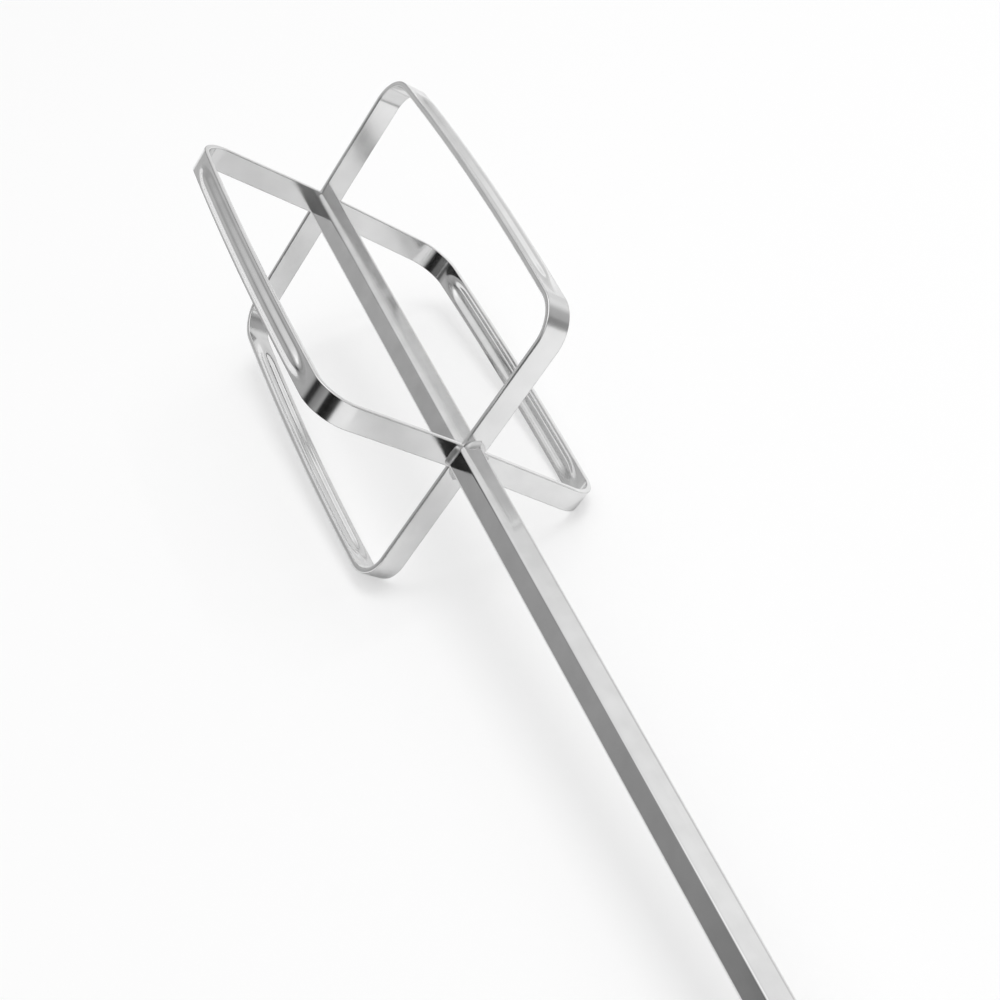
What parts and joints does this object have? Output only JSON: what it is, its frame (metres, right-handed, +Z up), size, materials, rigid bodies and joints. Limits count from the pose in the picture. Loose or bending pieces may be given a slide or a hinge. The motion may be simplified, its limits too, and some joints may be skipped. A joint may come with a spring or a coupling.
{
  "type": "paint mixing paddle",
  "caption": "Plated steel paint mixing paddle: a hexagonal drive bar with C-shaped ribbed wings welded round its head.",
  "frame": {"origin": "centre of the bounding box's foot, on the surface that the paddle rests on", "axes": "+X along the bar from the wings to the shank end, level (the bar itself slopes down by 5 degrees towards +X as it rests); +Z up; +Y completes the frame, across the paddle"},
  "size_m": [0.401, 0.0628, 0.0707],
  "materials": {
    "bar_steel": "bright zinc plated, drawn bar with fine lengthwise lines",
    "strip_steel": "bright zinc plated, smooth rolled strip",
    "weld_metal": "bright plated over rough weld beads"
  },
  "bodies": {
    "root": {"hex_shaft": "bar_steel", "wing_strip_1": "strip_steel", "wing_strip_2": "strip_steel", "wing_strip_3": "strip_steel", "wing_strip_4": "strip_steel", "weld_beads": "weld_metal"}
  },
  "joints": []
}
